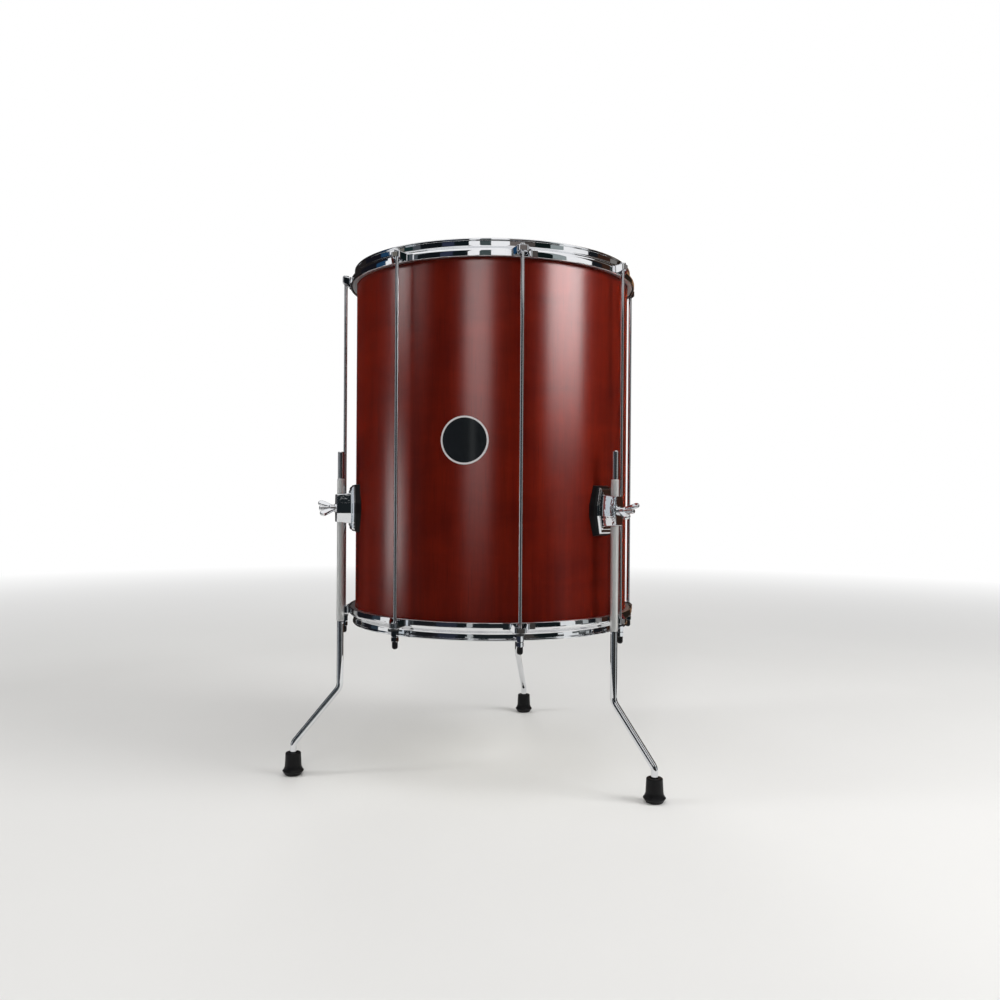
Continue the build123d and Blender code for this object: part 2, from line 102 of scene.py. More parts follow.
def joined(parts):
    # one bmesh from several, which are freed
    whole = bmesh.new()
    for part in parts:
        mesh = bpy.data.meshes.new("part")
        part.to_mesh(mesh)
        part.free()
        whole.from_mesh(mesh)
        bpy.data.meshes.remove(mesh)
    return whole


def around(build, angles):
    # copies of a shape at several angles in one bmesh
    parts = []
    for angle in angles:
        part = build()
        bmesh.ops.transform(part, matrix=turnTo(angle), verts=part.verts[:])
        parts.append(part)
    return joined(parts)


def addPiece(name, bm, finish, body, nodes):
    # a finished piece at the origin, riding on its body in place of its CAD nodes
    mesh = bpy.data.meshes.new(name)
    bm.to_mesh(mesh)
    bm.free()
    mesh.shade_smooth()
    mesh.set_sharp_from_angle(angle=sharpAngle)
    mesh.materials.append(finish)
    piece = bpy.data.objects.new(name, mesh)
    bpy.context.scene.collection.objects.link(piece)
    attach(piece, body)
    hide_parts(*nodes)


# Shader helpers

class Value:
    # a shader value that takes part in Python sums
    def __init__(self, finish, socket):
        self.finish = finish
        self.socket = socket

    def combine(self, operation, first, second):
        return self.finish.math(operation, first, second)

    def __add__(self, other):
        return self.combine("ADD", self, other)

    def __mul__(self, other):
        return self.combine("MULTIPLY", self, other)

    def __sub__(self, other):
        return self.combine("SUBTRACT", self, other)

    def __rsub__(self, other):
        return self.combine("SUBTRACT", other, self)

    def __truediv__(self, other):
        return self.combine("DIVIDE", self, other)

    def __rtruediv__(self, other):
        return self.combine("DIVIDE", other, self)

    def __gt__(self, other):
        return self.combine("GREATER_THAN", self, other)

    def __lt__(self, other):
        return self.combine("LESS_THAN", self, other)

    __radd__ = __add__
    __rmul__ = __mul__


class Finish:
    # a material, or the world, whose nodes all come from one method
    def __init__(self, name, kind=bpy.data.materials, shader="Principled BSDF", output="Material Output"):
        self.material = kind.new(name)
        self.material.use_nodes = True
        self.tree = self.material.node_tree
        self.shader = self.tree.nodes[shader]
        self.output = self.tree.nodes[output]

    def add(self, kind, settings=None, inputs=None, output=0):
        node = self.tree.nodes.new(kind)
        for key, setting in (settings or {}).items():
            if key == "stops":
                self.setStops(node.color_ramp, setting)
            else:
                setattr(node, key, setting)
        for key, value in (inputs or {}).items():
            self.feed(node.inputs[key], value)
        return Value(self, node.outputs[output])

    def setStops(self, ramp, stops):
        while len(ramp.elements) < len(stops):
            ramp.elements.new(1.0)
        for element, (position, shade) in zip(ramp.elements, stops):
            element.position = position
            element.color = (*shade, 1) if isinstance(shade, tuple) else (shade, shade, shade, 1)

    def feed(self, socket, value):
        if isinstance(value, Value):
            self.tree.links.new(value.socket, socket)
        else:
            socket.default_value = value

    def math(self, operation, *values):
        return self.add("ShaderNodeMath", {"operation": operation}, dict(enumerate(values)))

    def split(self, vector):
        # a vector's three numbers
        nodeOutputs = self.add("ShaderNodeSeparateXYZ", inputs={0: vector}).socket.node.outputs
        return [Value(self, nodeOutput) for nodeOutput in nodeOutputs]

    def place(self, scale=(1, 1, 1)):
        # object coordinates, scaled
        coordinates = self.add("ShaderNodeTexCoord", output="Object")
        return self.add("ShaderNodeMapping", inputs={"Vector": coordinates, "Scale": scale})

    def noise(self, scale, detail=2.0, roughness=0.5, distortion=0.0, stretch=(1, 1, 1)):
        # a pattern that is longest along the axis with the smallest stretch
        inputs = {"Vector": self.place(stretch), "Scale": scale, "Detail": detail, "Roughness": roughness,
                  "Distortion": distortion}
        return self.add("ShaderNodeTexNoise", inputs=inputs)

    def rise(self, value, low, high):
        # 0 up to low, 1 from high
        return self.ramp(value, (low, 0.0), (high, 1.0))

    def ramp(self, value, *stops, interpolation="LINEAR"):
        result = self.add("ShaderNodeValToRGB", {"stops": stops}, {"Fac": value})
        result.socket.node.color_ramp.interpolation = interpolation
        return result

    def lightPath(self, ray):
        return self.add("ShaderNodeLightPath", output=ray)

    def mix(self, factor, first, second):
        # two colours mixed
        first, second = [(*shade, 1) if isinstance(shade, tuple) else shade for shade in (first, second)]
        return self.add("ShaderNodeMix", {"data_type": "RGBA"}, {0: factor, 6: first, 7: second}, output=2)

    def bump(self, height, depth, strength, under=None):
        inputs = {"Height": height, "Distance": depth, "Strength": strength}
        if under:
            inputs["Normal"] = under
        return self.add("ShaderNodeBump", inputs=inputs)

    def radius(self):
        # distance from the drum's axis
        coordinates = self.add("ShaderNodeTexCoord", output="Object")
        flat = self.add("ShaderNodeVectorMath", {"operation": "MULTIPLY"}, {0: coordinates, 1: (1, 1, 0)})
        return self.add("ShaderNodeVectorMath", {"operation": "LENGTH"}, {0: flat}, output="Value")

    def seenDirectly(self):
        # 1 for what the camera, a reflection or clear glass shows, 0 for what lights a surface
        rays = [self.lightPath(ray) for ray in ("Is Camera Ray", "Is Glossy Ray", "Is Transmission Ray")]
        return rays[0] + rays[1] + rays[2] > 0.5

    def show(self, surface, share=None):
        # puts another shader in place of the first one, or mixes in a share of it
        if share is not None:
            lit = Value(self, self.shader.outputs[0])
            surface = self.add("ShaderNodeMixShader", inputs={0: share, 1: lit, 2: surface})
        self.feed(self.output.inputs["Surface"], surface)

    def done(self, **sockets):
        for name, value in sockets.items():
            self.feed(self.shader.inputs[socketNames[name]], value)
        return self.material


socketNames = {"colour": "Base Color", "roughness": "Roughness", "metallic": "Metallic", "normal": "Normal",
               "coat": "Coat Weight", "coatRoughness": "Coat Roughness", "specular": "Specular IOR Level",
               "specularTint": "Specular Tint"}


# Finishes

woodLook = {
    "stain": (0.068, 0.0036, 0.0016),
    "deepStain": (0.038, 0.0022, 0.0012),
    "lightStain": (0.118, 0.0078, 0.0022),
    "bareWood": (0.52, 0.33, 0.18),
    "roughness": 0.42,
    "specular": 0.03,
    "specularTint": (1.0, 0.1, 0.04, 1),
    "coat": 0.21,
    "coatRoughness": 0.23,
    "clouds": {"scale": 14, "detail": 4, "roughness": 0.55, "distortion": 0.4, "stretch": (1, 1, 0.35)},
    "bands": {"scale": 8, "detail": 4, "roughness": 0.6, "distortion": 0.5, "stretch": (1, 1, 2.6)},
    "streaks": {"scale": 95, "detail": 5, "roughness": 0.62, "distortion": 0.25, "stretch": (1, 1, 0.045)},
    "pores": {"scale": 900, "detail": 2, "roughness": 0.5, "stretch": (1, 1, 0.022)},
    "rings": {"scale": 120, "detail": 3, "stretch": (0.06, 0.06, 1)},
    "smudges": {"scale": 9, "detail": 3, "roughness": 0.6},
    "shares": {"clouds": 0.40, "bands": 0.32, "streaks": 0.28},    # of each in how light the stain is
    "toneEdges": (0.36, 0.64),
    "poreEdges": (0.60, 0.70),
    "evenness": 0.25,          # share of the plain stain over the clouds
    "poreShade": 0.55,
    "poreBump": (-0.00003, 0.5),    # depth and strength
    "streakBump": (0.00006, 0.35),
    "insideRadius": 0.2215,    # bare wood inside this
    "ringShade": 0.8,
    "unevenRoughness": {"smudges": 0.06, "streaks": 0.03, "inside": 0.25},
}


def makeWood():
    finish = Finish("stainedWood")
    clouds = finish.noise(**woodLook["clouds"])
    bands = finish.noise(**woodLook["bands"])
    streaks = finish.noise(**woodLook["streaks"])
    pores = finish.rise(finish.noise(**woodLook["pores"]), *woodLook["poreEdges"])
    shares = woodLook["shares"]
    tone = clouds * shares["clouds"] + bands * shares["bands"] + streaks * shares["streaks"]
    tone = finish.rise(tone, *woodLook["toneEdges"])
    colour = finish.mix(tone, woodLook["deepStain"], woodLook["lightStain"])
    colour = finish.mix(woodLook["evenness"], colour, woodLook["stain"])
    colour = finish.mix(pores * woodLook["poreShade"], colour, woodLook["deepStain"])
    inside = finish.radius() < woodLook["insideRadius"]
    rings = finish.noise(**woodLook["rings"])
    darkRing = tuple(shade * woodLook["ringShade"] for shade in woodLook["bareWood"])
    bare = finish.mix(rings, darkRing, woodLook["bareWood"])
    colour = finish.mix(inside, colour, bare)
    uneven = woodLook["unevenRoughness"]
    roughness = woodLook["roughness"] + (finish.noise(**woodLook["smudges"]) - 0.5) * uneven["smudges"]
    roughness = roughness + streaks * uneven["streaks"] + inside * uneven["inside"]
    normal = finish.bump(pores, *woodLook["poreBump"])
    normal = finish.bump(streaks, *woodLook["streakBump"], under=normal)
    return finish.done(colour=colour, roughness=roughness, normal=normal, specular=woodLook["specular"],
                       specularTint=woodLook["specularTint"], coat=woodLook["coat"],
                       coatRoughness=woodLook["coatRoughness"])


chromeLook = {
    "tone": (0.80, 0.81, 0.83),
    "shadeTone": (0.70, 0.71, 0.74),
    "roughness": 0.025,
    "wear": {"scale": 38, "detail": 4, "roughness": 0.6, "distortion": 0.3},
    "wearEdges": (0.42, 0.68),
    "wearShade": 0.5,
    "wearRoughness": 0.03,
    "specks": {"scale": 620, "detail": 2, "roughness": 0.5},
    "speckEdges": (0.66, 0.74),
    "speckShade": 0.25,
    "speckRoughness": 0.06,
    "waves": {"detail": 1, "roughness": 0.4},    # the metal under the plating
}
sheetWaves = {"scale": 55, "bump": (0.00006, 0.6)}
castWaves = {"scale": 190, "bump": (0.00012, 0.6)}
rodWaves = {"scale": 90, "bump": (0.00002, 0.6)}


def chromeWear(finish):
    # faint smudges
    return finish.rise(finish.noise(**chromeLook["wear"]), *chromeLook["wearEdges"])


def makeChrome(name, waves):
    finish = Finish(name)
    wear = chromeWear(finish)
    specks = finish.rise(finish.noise(**chromeLook["specks"]), *chromeLook["speckEdges"])
    shade = wear * chromeLook["wearShade"] + specks * chromeLook["speckShade"]
    colour = finish.mix(shade, chromeLook["tone"], chromeLook["shadeTone"])
    roughness = chromeLook["roughness"] + wear * chromeLook["wearRoughness"]
    roughness = roughness + specks * chromeLook["speckRoughness"]
    ripple = finish.noise(waves["scale"], **chromeLook["waves"])
    return finish.done(colour=colour, roughness=roughness, metallic=1.0,
                       normal=finish.bump(ripple, *waves["bump"]))


gripLook = {
    "tone": (0.88, 0.88, 0.86),
    "roughness": 0.25,     # added to the plating's own
    "dulling": 0.3,        # taken from its metallic share
    "circle": 0.255,       # the clamped legs stand on this radius
    "foot": 0.2433,        # the grip's lower and upper end
    "top": 0.4733,
    "ridges": 48,
    "slant": 2600,
    "ridgeBump": (0.000015, 0.8),
}


def makeLegChrome(angle):
    # plating with a crossed knurl along the clamped stretch
    finish = Finish("legChrome")
    circle = gripLook["circle"]
    onLeg = finish.add("ShaderNodeMapping", inputs={
        "Vector": finish.add("ShaderNodeTexCoord", output="Object"),
        "Location": (-circle * sin(radians(angle)), circle * cos(radians(angle)), 0)})
    x, y, z = finish.split(onLeg)
    turn = finish.math("ARCTAN2", y, x) * gripLook["ridges"]
    slope = z * gripLook["slant"]
    ridges = finish.math("SINE", turn + slope) + finish.math("SINE", turn - slope)
    grip = (z > gripLook["foot"]) * (z < gripLook["top"])
    wear = chromeWear(finish)
    colour = finish.mix(wear * chromeLook["wearShade"], chromeLook["tone"], chromeLook["shadeTone"])
    colour = finish.mix(grip, colour, gripLook["tone"])
    roughness = chromeLook["roughness"] + wear * chromeLook["wearRoughness"] + grip * gripLook["roughness"]
    normal = finish.bump(ridges * grip, *gripLook["ridgeBump"])
    return finish.done(colour=colour, roughness=roughness, metallic=1.0 - grip * gripLook["dulling"],
                       normal=normal)


rubberLook = {
    "tone": (0.0045, 0.0045, 0.005),
    "dust": (0.022, 0.021, 0.020),
    "roughness": 0.40,
    "specular": 0.2,
    "grain": {"scale": 900, "detail": 3, "roughness": 0.6},
    "grainBump": (0.0001, 0.35),
    "dustClouds": {"scale": 70, "detail": 5, "roughness": 0.65},
    "dustEdges": (0.52, 0.80),
    "dustShare": 0.30,
    "dustRoughness": 0.25,
}


def makeRubber():
    finish = Finish("blackRubber")
    dust = finish.rise(finish.noise(**rubberLook["dustClouds"]), *rubberLook["dustEdges"])
    colour = finish.mix(dust * rubberLook["dustShare"], rubberLook["tone"], rubberLook["dust"])
    grain = finish.noise(**rubberLook["grain"])
    return finish.done(colour=colour, specular=rubberLook["specular"],
                       roughness=rubberLook["roughness"] + dust * rubberLook["dustRoughness"],
                       normal=finish.bump(grain, *rubberLook["grainBump"]))


nylonLook = {
    "deepTone": (0.012, 0.012, 0.013),
    "tone": (0.024, 0.024, 0.026),
    "roughness": 0.42,
    "grain": {"scale": 1500, "detail": 2},
    "grainBump": (0.00004, 0.3),
    "grainRoughness": 0.12,
}


def makeNylon():
    finish = Finish("blackNylon")
    grain = finish.noise(**nylonLook["grain"])
    return finish.done(colour=finish.mix(grain, nylonLook["deepTone"], nylonLook["tone"]),
                       roughness=nylonLook["roughness"] + grain * nylonLook["grainRoughness"],
                       normal=finish.bump(grain, *nylonLook["grainBump"]))


filmLook = {
    "tone": (0.80, 0.78, 0.72),
    "worn": (0.70, 0.68, 0.62),
    "roughness": 0.62,
    "tooth": {"scale": 1400, "detail": 3, "roughness": 0.6},
    "toothBump": (0.00012, 0.5),
    "clouds": {"scale": 11, "detail": 4, "roughness": 0.6},
    "playedRadius": 0.2,
    "playedStops": ((0.1, 1.0), (0.75, 0.0)),    # share of that radius, and how worn the head is there
    "shares": {"clouds": 0.6, "played": 0.4},
    "wornEdges": (0.35, 0.75),
    "wornShade": 0.5,
    "polish": 0.1,
}


def makeFilm():
    # coated film: fine tooth, cloudier where sticks land
    finish = Finish("coatedFilm")
    tooth = finish.noise(**filmLook["tooth"])
    played = finish.ramp(finish.radius() / filmLook["playedRadius"], *filmLook["playedStops"])
    clouds = finish.noise(**filmLook["clouds"])
    shares = filmLook["shares"]
    worn = finish.rise(clouds * shares["clouds"] + played * shares["played"], *filmLook["wornEdges"])
    return finish.done(colour=finish.mix(worn * filmLook["wornShade"], filmLook["tone"], filmLook["worn"]),
                       roughness=filmLook["roughness"] - worn * filmLook["polish"],
                       normal=finish.bump(tooth, *filmLook["toothBump"]))


aluminiumLook = {
    "tones": ((0.62, 0.63, 0.64), (0.74, 0.75, 0.76)),
    "roughness": 0.30,
    "lines": {"scale": 2600, "detail": 2, "stretch": (0.03, 0.03, 1)},
    "lineBump": (0.00003, 0.4),
    "lineRoughness": 0.16,
    "blotches": {"scale": 60, "detail": 3},
}


def makeAluminium():
    finish = Finish("drawnAluminium")
    lines = finish.noise(**aluminiumLook["lines"])
    blotches = finish.noise(**aluminiumLook["blotches"])
    return finish.done(colour=finish.mix(blotches, *aluminiumLook["tones"]), metallic=1.0,
                       roughness=aluminiumLook["roughness"] + lines * aluminiumLook["lineRoughness"],
                       normal=finish.bump(lines, *aluminiumLook["lineBump"]))


zincLook = {
    "tones": ((0.50, 0.51, 0.50), (0.66, 0.65, 0.60)),
    "roughness": 0.32,
    "blotches": {"scale": 260, "detail": 4, "roughness": 0.6},
    "blotchRoughness": 0.2,
}


def makeZinc():
    finish = Finish("zincPlating")
    blotches = finish.noise(**zincLook["blotches"])
    return finish.done(colour=finish.mix(blotches, *zincLook["tones"]), metallic=1.0,
                       roughness=zincLook["roughness"] + blotches * zincLook["blotchRoughness"])


badgeLook = {
    "rimTones": ((0.74, 0.72, 0.72), (0.84, 0.82, 0.82)),
    "rimRoughness": 0.34,
    "rimMetallic": 0.4,
    "rimLines": {"scale": 900, "detail": 3},
    "rimLineBump": (0.00002, 0.3),
    "rimLineRoughness": 0.14,
    "blackTones": ((0.006, 0.007, 0.008), (0.012, 0.014, 0.016)),
    "blackRoughness": 0.09,
    "haze": {"scale": 120, "detail": 5, "roughness": 0.6},
    "hazeRoughness": 0.08,
    "specks": {"scale": 1300, "detail": 1},
    "speckEdges": (0.72, 0.78),
    "speckTone": (0.09, 0.09, 0.09),
    "speckShade": 0.4,
}


def makeBadgeMetal():
    finish = Finish("badgeMetal")
    lines = finish.noise(**badgeLook["rimLines"])
    return finish.done(colour=finish.mix(lines, *badgeLook["rimTones"]), metallic=badgeLook["rimMetallic"],
                       roughness=badgeLook["rimRoughness"] + lines * badgeLook["rimLineRoughness"],
                       normal=finish.bump(lines, *badgeLook["rimLineBump"]))


def makeBadgeBlack():
    finish = Finish("badgeBlack")
    haze = finish.noise(**badgeLook["haze"])
    specks = finish.rise(finish.noise(**badgeLook["specks"]), *badgeLook["speckEdges"])
    colour = finish.mix(haze, *badgeLook["blackTones"])
    colour = finish.mix(specks * badgeLook["speckShade"], colour, badgeLook["speckTone"])
    return finish.done(colour=colour, roughness=badgeLook["blackRoughness"] + haze * badgeLook["hazeRoughness"])


wood = makeWood()
sheetChrome = makeChrome("sheetChrome", sheetWaves)
castChrome = makeChrome("castChrome", castWaves)
rodChrome = makeChrome("rodChrome", rodWaves)
rubber = makeRubber()
nylon = makeNylon()
film = makeFilm()
aluminium = makeAluminium()
zinc = makeZinc()
badgeMetal = makeBadgeMetal()
badgeBlack = makeBadgeBlack()
print("finishes: made")


# Shell

shellLow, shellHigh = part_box("shell")
shellRadius = shellHigh.x
shellMiddle = (shellLow.z + shellHigh.z) / 2
shellShape = {"wall": 0.0075, "outerRound": 0.0025, "innerCut": 0.004, "steps": 256}


def buildShell():
    inner = shellRadius - shellShape["wall"]
    outer = shellShape["outerRound"]
    cut = shellShape["innerCut"]
    bm = outline([
        (shellRadius, shellLow.z, outer, 6),
        (shellRadius, shellHigh.z, outer, 6),
        (inner, shellHigh.z, cut, 1),
        (inner, shellLow.z, cut, 1),
    ])
    return spinOutline(bm, shellShape["steps"])


addPiece("wooden_shell", buildShell(), wood, "drum", ["shell"])
print("shell: made")


# Heads and flesh hoops

filmLow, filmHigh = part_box("top_head_film")
fleshLow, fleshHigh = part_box("top_flesh_hoop")
headShape = {"thickness": 0.0004, "bend": 0.003, "fleshWidth": 0.0071, "fleshRound": 0.0015, "steps": 256}


def atEnd(end, bm):
    # shapes are built for the top, and the bottom's are their mirror images
    if end == "bottom":
        mirror = Matrix.Translation((0, 0, 2 * shellMiddle)) @ Matrix.Scale(-1, 4, (0, 0, 1))
        bmesh.ops.transform(bm, matrix=mirror, verts=bm.verts[:])
        bmesh.ops.recalc_face_normals(bm, faces=bm.faces[:])
    return bm


def buildFilm():
    thick = headShape["thickness"]
    bend = headShape["bend"]
    outer = filmHigh.x
    bm = outline([
        (0, filmHigh.z),
        (outer, filmHigh.z, bend + thick, 8),
        (outer, filmLow.z),
        (outer - thick, filmLow.z),
        (outer - thick, filmHigh.z - thick, bend, 8),
        (0, filmHigh.z - thick),
    ])
    return spinOutline(bm, headShape["steps"])


def buildFleshHoop():
    inner = fleshHigh.x - headShape["fleshWidth"]
    corner = headShape["fleshRound"]
    bm = outline([
        (inner, fleshLow.z),
        (fleshHigh.x, fleshLow.z, corner, 4),
        (fleshHigh.x, fleshHigh.z, corner, 4),
        (inner, fleshHigh.z),
    ])
    return spinOutline(bm, headShape["steps"])


for end in ("top", "bottom"):
    addPiece(end + "_head", atEnd(end, buildFilm()), film, "drum", [end + "_head_film"])
    addPiece(end + "_flesh_ring", atEnd(end, buildFleshHoop()), aluminium, "drum", [end + "_flesh_hoop"])
print("heads: made")


# Counter hoops

hoopLow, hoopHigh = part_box("top_hoop")
hoopShape = {
    "sheet": 0.0018,
    "rimRadius": 0.2301,    # middle of the rim band's sheet
    "bead": 0.004,
    "beadRound": 0.0019,
    "beadUnderRound": 0.0009,
    "neckRound": 0.0004,
    "ledgeStart": 0.0125,
    "ledgeDrop": 0.006,
    "ledgeSlope": 35.9,
    "bendRound": 0.0026,
    "lipRound": 0.0008,
    "steps": 288,
}


def buildHoop():
    half = hoopShape["sheet"] / 2
    bead = hoopShape["bead"]
    rim = hoopShape["rimRadius"]
    band = hoopHigh.x - half
    top = hoopHigh.z
    ledgeIn = top - hoopShape["ledgeStart"]
    ledgeOut = ledgeIn - hoopShape["ledgeDrop"]
    mitre = half * tan(pi / 4 - radians(hoopShape["ledgeSlope"]) / 2)    # where the sheet turns onto the ledge
    bend = hoopShape["bendRound"]
    beadRound, underRound = hoopShape["beadRound"], hoopShape["beadUnderRound"]
    neck, neckRound = top - bead, hoopShape["neckRound"]
    lip = hoopShape["lipRound"]
    bm = outline([
        (rim + half, neck, neckRound, 2),
        (rim + bead / 2, neck, underRound, 3),
        (rim + bead / 2, top, beadRound, 5),
        (rim - bead / 2, top, beadRound, 5),
        (rim - bead / 2, neck, underRound, 3),
        (rim - half, neck, neckRound, 2),
        (rim - half, ledgeIn - mitre, bend + half, 5),
        (band - half, ledgeOut - mitre, bend - half, 4),
        (band - half, hoopLow.z, lip, 3),
        (band + half, hoopLow.z, lip, 3),
        (band + half, ledgeOut + mitre, bend + half, 6),
        (rim + half, ledgeIn + mitre, bend - half, 4),
    ])
    return spinOutline(bm, hoopShape["steps"])


for end in ("top", "bottom"):
    addPiece(end + "_counter_hoop", atEnd(end, buildHoop()), sheetChrome, "drum", [end + "_hoop"])
print("hoops: made")


# Tension rods

rodLow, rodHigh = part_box("tension_rods")
rodShape = {
    "circle": 0.2463,
    "radius": 0.0027,
    "tipRound": 0.0005,
    "headRadius": 0.005,
    "headHeight": 0.0028,
    "headRound": 0.0017,
    "headUnderRound": 0.0003,
    "neckRound": 0.0002,
    "steps": 32,
}


def buildRod():
    radius = rodShape["radius"]
    head = rodShape["headRadius"]
    under = rodHigh.z - rodShape["headHeight"]
    bm = outline([
        (0, rodLow.z),
        (radius, rodLow.z, rodShape["tipRound"], 2),
        (radius, under, rodShape["neckRound"], 2),
        (head, under, rodShape["headUnderRound"], 2),
        (head, rodHigh.z, rodShape["headRound"], 5),
        (0, rodHigh.z),
    ])
    spinOutline(bm, rodShape["steps"])
    bmesh.ops.translate(bm, vec=(rodShape["circle"], 0, 0), verts=bm.verts[:])
    return bm


addPiece("chrome_rods", around(buildRod, rodAngles), rodChrome, "drum", ["tension_rods"])
print("rods: made")


# Finishes on the pieces that keep their own shape

carriedFinishes = {
    "top_hoop_ears": sheetChrome,
    "bottom_hoop_ears": sheetChrome,
    "tension_rod_washers": nylon,
    "rod_end_caps": rubber,
    "badge_plate": badgeMetal,
    "badge_inlay": badgeBlack,
    "bracket_fixings": zinc,
    "bracket_fixing_washers": zinc,
}
for number in range(1, 9):
    carriedFinishes[f"tuning_nut_{number}"] = rodChrome
for side in legAngles:
    carriedFinishes[side + "_bracket_gasket"] = rubber
    carriedFinishes[side + "_leg_clamp"] = castChrome
    carriedFinishes[side + "_wing_bolt"] = castChrome
    carriedFinishes[side + "_leg"] = makeLegChrome(legAngles[side])
    carriedFinishes[side + "_rubber_foot"] = rubber
for node, finish in carriedFinishes.items():
    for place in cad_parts[node].material_slots:
        place.material = finish
print("carried nodes: dressed")


# Stage

stageShape = {
    "floorRadius": 14.0,
    "floorTone": (0.74, 0.735, 0.72),
    "floorRoughness": 0.9,
    "floorSpecular": 0.1,
    "floorClouds": {"scale": 2.2, "detail": 5, "roughness": 0.6},
    "floorCloudShade": 0.96,
    "fadeStart": 1.2,    # the floor turns into the white background between these radii
    "fadeEnd": 4.2,
    "airStrength": 0.36,
    "ringRadius": 3.4,
    "ringHeight": 4.2,
    "toneReach": 2.0,    # heights above this look the same
    "toneChange": (1.36, 1.52),    # lowTones give way to ringTones between these heights
    "kerb": ((0.8, 0.0), (0.8, 0.15)),    # (radius, height) of the ends of a low wall
    "farFloor": ((1.62, 0.0), (3.4, 0.03)),    # and of a dark floor that rises to the ring
    "steps": 96,
    "glowSteps": 8,
    "glowTop": 2.4,
    "glowGap": 0.05,    # from the ring to the first panel
    "glowSpacing": 0.01,
}

# what reflections show round the drum: the angle at which each tone starts
ringTones = [
    (-180, (0.034, 0.030, 0.030)),
    (-150, (0.018, 0.015, 0.015)),
    (-112, (0.008, 0.008, 0.012)),
    (-88, (0.014, 0.050, 0.110)),
    (-76, (1.0, 1.0, 1.0)),
    (-69, (0.16, 0.15, 0.13)),
    (-61, (0.012, 0.028, 0.028)),
    (-53, (0.075, 0.085, 0.095)),
    (-45, (0.006, 0.008, 0.010)),
    (-27, (0.030, 0.036, 0.065)),
    (-17, (0.006, 0.010, 0.012)),
    (-6, (1.0, 1.0, 1.0)),
    (2, (0.06, 0.08, 0.08)),
    (10, (1.0, 1.0, 1.0)),
    (25, (0.16, 0.14, 0.13)),
    (35, (0.08, 0.07, 0.065)),
    (44, (0.005, 0.010, 0.010)),
    (57, (0.30, 0.34, 0.34)),
    (68, (1.0, 1.0, 1.0)),
    (92, (0.010, 0.012, 0.015)),
    (103, (0.040, 0.018, 0.012)),
    (120, (0.20, 0.19, 0.18)),
    (132, (0.020, 0.014, 0.010)),
    (160, (0.30, 0.16, 0.08)),
]

# the same lower down, where the legs and clamps look
lowTones = [
    (-180, (0.030, 0.026, 0.026)),
    (-150, (0.015, 0.013, 0.013)),
    (-112, (0.010, 0.010, 0.013)),
    (-88, (0.030, 0.045, 0.060)),
    (-78, (0.85, 0.85, 0.84)),
    (-67, (0.030, 0.034, 0.036)),
    (-58, (0.55, 0.60, 0.64)),
    (-50, (0.060, 0.065, 0.070)),
    (-45, (0.010, 0.011, 0.013)),
    (-27, (0.022, 0.026, 0.040)),
    (-12, (0.008, 0.011, 0.013)),
    (-5, (0.42, 0.44, 0.44)),
    (0, (0.012, 0.016, 0.018)),
    (30, (0.050, 0.046, 0.042)),
    (44, (0.006, 0.010, 0.011)),
    (64, (0.80, 0.82, 0.82)),
    (76, (0.060, 0.065, 0.065)),
    (84, (0.40, 0.42, 0.42)),
    (90, (0.010, 0.012, 0.015)),
    (103, (0.040, 0.018, 0.012)),
    (122, (0.18, 0.17, 0.16)),
    (130, (0.020, 0.014, 0.010)),
    (160, (0.20, 0.11, 0.06)),
]


def stageObject(name, bm, finish):
    mesh = bpy.data.meshes.new(name)
    bm.to_mesh(mesh)
    bm.free()
    mesh.materials.append(finish)
    thing = bpy.data.objects.new(name, mesh)
    bpy.context.scene.collection.objects.link(thing)
    return thing


def onlyInReflections(thing):
    # glossy rays alone see it
    thing.visible_camera = False
    thing.visible_diffuse = False
    thing.visible_transmission = False
    thing.visible_shadow = False
    return thing


def makeFloor():
    # pale floor that fades into the white background far from the drum
    finish = Finish("paleFloor")
    tone = stageShape["floorTone"]
    cloudTone = tuple(shade * stageShape["floorCloudShade"] for shade in tone)
    finish.done(colour=finish.mix(finish.noise(**stageShape["floorClouds"]), cloudTone, tone),
                roughness=stageShape["floorRoughness"], specular=stageShape["floorSpecular"])
    span = stageShape["fadeEnd"] - stageShape["fadeStart"]
    fade = finish.rise((finish.radius() - stageShape["fadeStart"]) / span, 0.0, 1.0)
    glow = finish.add("ShaderNodeEmission", inputs={"Color": (1, 1, 1, 1), "Strength": 1.0})
    finish.show(glow, fade * finish.seenDirectly())
    bm = bmesh.new()
    bmesh.ops.create_circle(bm, cap_ends=True, segments=stageShape["steps"], radius=stageShape["floorRadius"])
    return stageObject("floor", bm, finish.material)


def tonesAround(finish, turn, tones):
    stops = [((angle + 180) / 360, tone) for angle, tone in tones]
    return finish.ramp(turn / (2 * pi) + 0.5, *stops, interpolation="CONSTANT")


